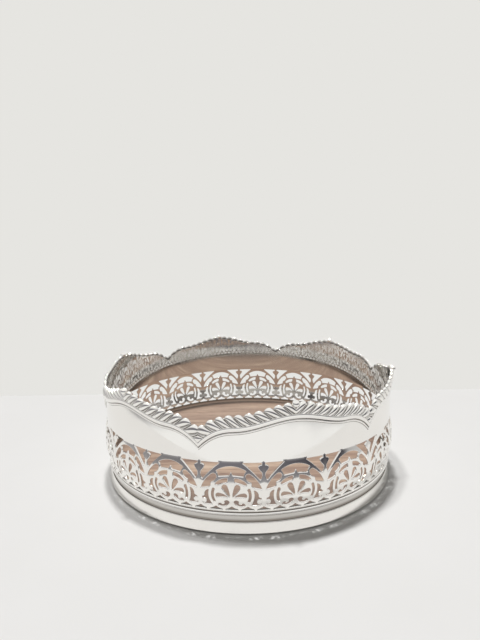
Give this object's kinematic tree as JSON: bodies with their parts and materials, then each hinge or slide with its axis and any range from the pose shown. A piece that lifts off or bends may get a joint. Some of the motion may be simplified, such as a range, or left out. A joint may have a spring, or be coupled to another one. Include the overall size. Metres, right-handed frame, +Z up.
{
  "type": "bottle coaster",
  "caption": "Round wine bottle coaster: pierced, bellied silver-plated wall with a scalloped, gadrooned rim, on a moulded foot around a turned wooden base with baize under it.",
  "frame": {"origin": "centre of the underside, on the surface that the coaster stands on", "axes": "+Z up along the coaster's axis; a peak of the scalloped rim faces -Y"},
  "size_m": [0.2432, 0.2446, 0.0898],
  "materials": {
    "silver_plate": "polished silver plate",
    "mahogany": "turned and polished mahogany",
    "baize": "felted wool baize"
  },
  "bodies": {
    "root": {"baize_pad": "baize", "base_board": "mahogany", "foot_ring": "silver_plate", "seam_wire": "silver_plate", "pierced_gallery": "silver_plate", "plain_collar": "silver_plate", "gadroon_section_1": "silver_plate", "gadroon_section_2": "silver_plate", "gadroon_section_3": "silver_plate", "gadroon_section_4": "silver_plate", "gadroon_section_5": "silver_plate", "gadroon_section_6": "silver_plate"}
  },
  "joints": []
}
